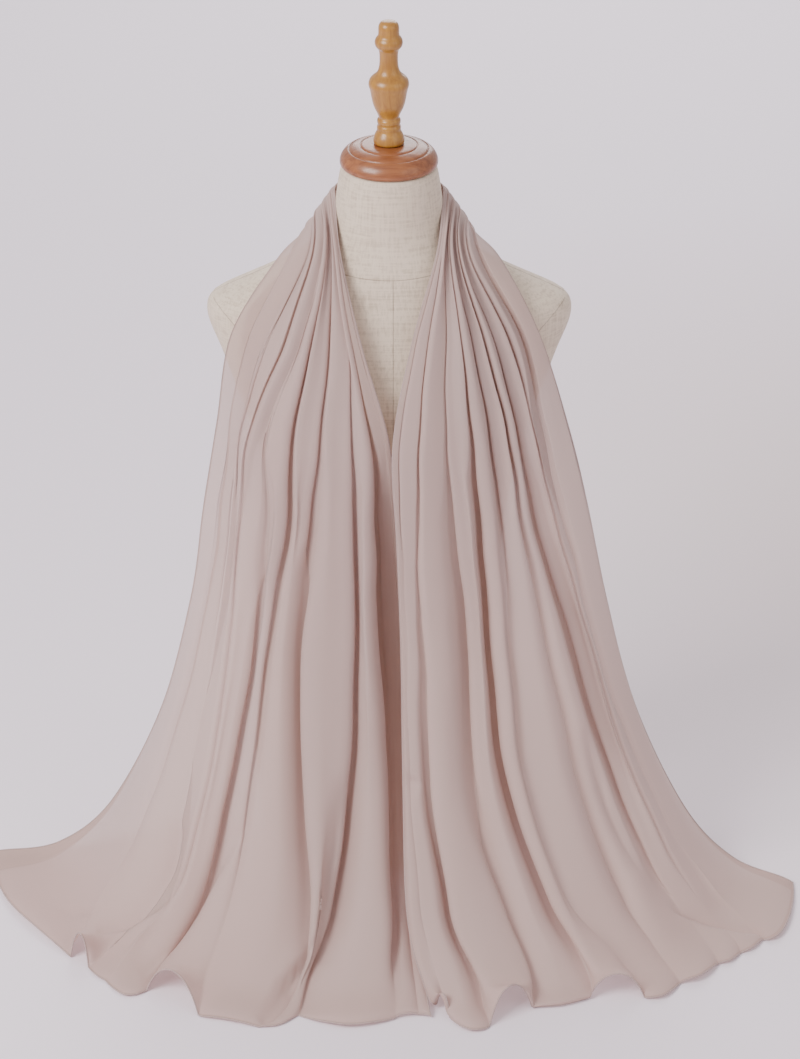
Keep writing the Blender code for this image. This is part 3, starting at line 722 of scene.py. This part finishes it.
left, left_single = fall_sheet(FALL_LEFT, CREASES_LEFT, TOPS_LEFT, HEM_REACH_LEFT, SHEERS_LEFT,
                               TIPS_LEFT, BREAKS_LEFT)
right, right_single = fall_sheet(FALL_RIGHT, CREASES_RIGHT, TOPS_RIGHT, HEM_REACH_RIGHT, SHEERS_RIGHT,
                                 TIPS_RIGHT, BREAKS_RIGHT)

# The nape band goes on round the back of the neck from the first row of one fall to the other's.
turn = (np.pi * np.arange(1, NAPE_ROWS) / NAPE_ROWS)[:, None]
mix = turn / np.pi
behind = np.sin(turn) ** 2
radius = -left[0][None, :, 0] * (1 - mix) + right[0][None, :, 0] * mix
height = left[0][None, :, 2] * (1 - mix) + right[0][None, :, 2] * mix
radius = radius - (radius - radius.min(axis=1, keepdims=True)) * NAPE_TIGHTER * behind
nape = np.stack([-radius * np.cos(turn), NAPE_MIDDLE + radius * np.sin(turn), height - NAPE_SAG * behind],
                axis=-1)
sheet_points = np.concatenate([left[::-1], nape, right]) * MM
single_layer = np.concatenate([left_single[::-1], np.zeros(nape.shape[:2]), right_single])

rows, columns = sheet_points.shape[:2]
scarf_mesh = bpy.data.meshes.new("chiffon_scarf")
index = np.arange(rows * columns).reshape(rows, columns)
quads = np.stack([index[:-1, :-1], index[:-1, 1:], index[1:, 1:], index[1:, :-1]], axis=-1).reshape(-1, 4)
scarf_mesh.from_pydata([tuple(p) for p in sheet_points.reshape(-1, 3).tolist()], [], quads.tolist())
uv = scarf_mesh.uv_layers.new(name="cloth")
corner = np.array([loop.vertex_index for loop in scarf_mesh.loops])
flat = np.column_stack([(corner % columns) / (columns - 1) * CLOTH_WIDTH,
                        (corner // columns) / (rows - 1) * CLOTH_LENGTH])
uv.data.foreach_set("uv", flat.astype(np.float32).ravel())
single = scarf_mesh.attributes.new("single_layer", "FLOAT", "POINT")
single.data.foreach_set("value", single_layer.astype(np.float32).ravel())
scarf_mesh.shade_smooth()
scarf = bpy.data.objects.new("chiffon_scarf", scarf_mesh)
bpy.context.scene.collection.objects.link(scarf)

# The chiffon's colours, its threads per metre, how solid it is in layers and alone, the share of light
# that comes through it, and its sewn edge: the width, the blur and the shade of the band.
CHIFFON, CHIFFON_LIT_THROUGH = (0.605, 0.458, 0.430), (0.65, 0.45, 0.365)
CHIFFON_CLOUDS = (0.97, 0.955, 0.945)
CHIFFON_SHEEN = (1.0, 0.93, 0.92)
CHIFFON_THREADS = 1500.0
LAYERS_SOLID, SINGLE_SOLID = 0.94, 0.66
THROUGH_SHARE = 0.31
SEWN_EDGE, SEWN_EDGE_BLUR, SEWN_SHADE = 0.0045, 0.0008, (0.84, 0.80, 0.78)


def chiffon_material(name, colour, lit_through, solid, single_solid):
    """Sheer plain weave: matt, with light passing through and a soft sheen at a glancing angle."""
    material, tree, shader = new_material(name, {"Roughness": 0.72, "Sheen Weight": 0.25,
                                                 "Sheen Roughness": 0.45,
                                                 "Sheen Tint": (*CHIFFON_SHEEN, 1.0)})
    links = tree.links
    place = node(tree, "ShaderNodeUVMap", (-1500, 0), uv_map="cloth")
    weave = node(tree, "ShaderNodeGroup", (-900, 0), node_tree=woven_threads)
    weave.inputs["Threads per metre"].default_value = CHIFFON_THREADS
    clouds = node(tree, "ShaderNodeTexNoise", (-900, 300), {"Scale": 7.0, "Detail": 2.0})
    cloudy = tuple(part * share for part, share in zip(colour, CHIFFON_CLOUDS))
    tint = node(tree, "ShaderNodeMix", (-600, 300), {"A": (*cloudy, 1.0), "B": (*colour, 1.0)},
                data_type="RGBA")
    links.new(place.outputs["UV"], weave.inputs["Vector"])
    links.new(place.outputs["UV"], clouds.inputs["Vector"])
    links.new(clouds.outputs["Fac"], tint.inputs["Factor"])

    # The sewn edge is a narrow band where thread covers the cloth, so it is darker and lets less through.
    apart = node(tree, "ShaderNodeSeparateXYZ", (-1300, -500))
    links.new(place.outputs["UV"], apart.inputs[0])
    inwards = node(tree, "ShaderNodeMath", (-700, -500), operation="MINIMUM")
    for number, (axis, size) in enumerate((("X", CLOTH_WIDTH), ("Y", CLOTH_LENGTH))):
        other = node(tree, "ShaderNodeMath", (-1100, -500), {0: size}, operation="SUBTRACT")
        nearest = node(tree, "ShaderNodeMath", (-900, -500), operation="MINIMUM")
        links.new(apart.outputs[axis], other.inputs[1])
        links.new(apart.outputs[axis], nearest.inputs[0])
        links.new(other.outputs[0], nearest.inputs[1])
        links.new(nearest.outputs[0], inwards.inputs[number])
    sewn = node(tree, "ShaderNodeMapRange", (-500, -500),
                {"From Min": SEWN_EDGE, "From Max": SEWN_EDGE - SEWN_EDGE_BLUR})
    edged = node(tree, "ShaderNodeMix", (-300, 300), {"B": (*SEWN_SHADE, 1.0)}, data_type="RGBA",
                 blend_type="MULTIPLY")
    links.new(inwards.outputs[0], sewn.inputs["Value"])
    links.new(sewn.outputs["Result"], edged.inputs["Factor"])
    links.new(tint.outputs["Result"], edged.inputs["A"])
    links.new(edged.outputs["Result"], shader.inputs["Base Color"])

    layer = node(tree, "ShaderNodeAttribute", (-900, -300), attribute_name="single_layer")
    sheer = node(tree, "ShaderNodeMapRange", (-600, 0), {"To Min": solid, "To Max": single_solid})
    covered = node(tree, "ShaderNodeMath", (-300, 0), operation="MAXIMUM")
    links.new(layer.outputs["Fac"], sheer.inputs["Value"])
    links.new(sheer.outputs["Result"], covered.inputs[0])
    links.new(sewn.outputs["Result"], covered.inputs[1])
    links.new(covered.outputs[0], shader.inputs["Alpha"])
    bump = node(tree, "ShaderNodeBump", (-600, -250), {"Strength": 0.10, "Distance": 0.0002})
    links.new(weave.outputs["Slubs"], bump.inputs["Height"])
    links.new(bump.outputs["Normal"], shader.inputs["Normal"])
    glow = node(tree, "ShaderNodeBsdfTranslucent", (-300, -300), {"Color": (*lit_through, 1.0)})
    mixed = node(tree, "ShaderNodeMixShader", (0, -100), {"Fac": THROUGH_SHARE})
    links.new(shader.outputs["BSDF"], mixed.inputs[1])
    links.new(glow.outputs["BSDF"], mixed.inputs[2])
    links.new(mixed.outputs["Shader"], tree.nodes["Material Output"].inputs["Surface"])
    return material


scarf.data.materials.append(chiffon_material("mauve_chiffon", CHIFFON, CHIFFON_LIT_THROUGH,
                                             LAYERS_SOLID, SINGLE_SOLID))
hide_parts("scarf_fall_left", "scarf_fall_right", "scarf_nape")
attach(scarf, "root")


# The overlocked edge
# Fine thread, a little darker than the chiffon, wrapped closely over the cut edge all round the strip
# of cloth. It is sewn on along the border of the sheet, so it is folded and lies as the sheet does.
THREAD_RADIUS = 0.0008
THREAD_PALE, THREAD_DARK = (0.50, 0.38, 0.36), (0.33, 0.24, 0.225)
OVERLOCK_THREADS = 2600.0

thread, thread_tree, thread_shader = new_material("overlock_thread", {"Roughness": 0.8})
thread_place = node(thread_tree, "ShaderNodeTexCoord", (-900, 0))
fibre = node(thread_tree, "ShaderNodeGroup", (-650, 0), node_tree=woven_threads)
fibre.inputs["Threads per metre"].default_value = OVERLOCK_THREADS
thread_shade = colour_ramp(thread_tree, (-400, 0), (0.0, THREAD_DARK), (1.0, THREAD_PALE))
thread_tree.links.new(thread_place.outputs["Object"], fibre.inputs["Vector"])
thread_tree.links.new(fibre.outputs["Slubs"], thread_shade.inputs["Fac"])
thread_tree.links.new(thread_shade.outputs["Color"], thread_shader.inputs["Base Color"])
border = np.concatenate([sheet_points[0], sheet_points[1:, -1], sheet_points[-1, ::-1][1:],
                         sheet_points[::-1, 0][1:-1]])
edge = tube_along("overlocked_edge", [tuple(p) for p in border.tolist()], THREAD_RADIUS, thread, closed=True)
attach(edge, "root")
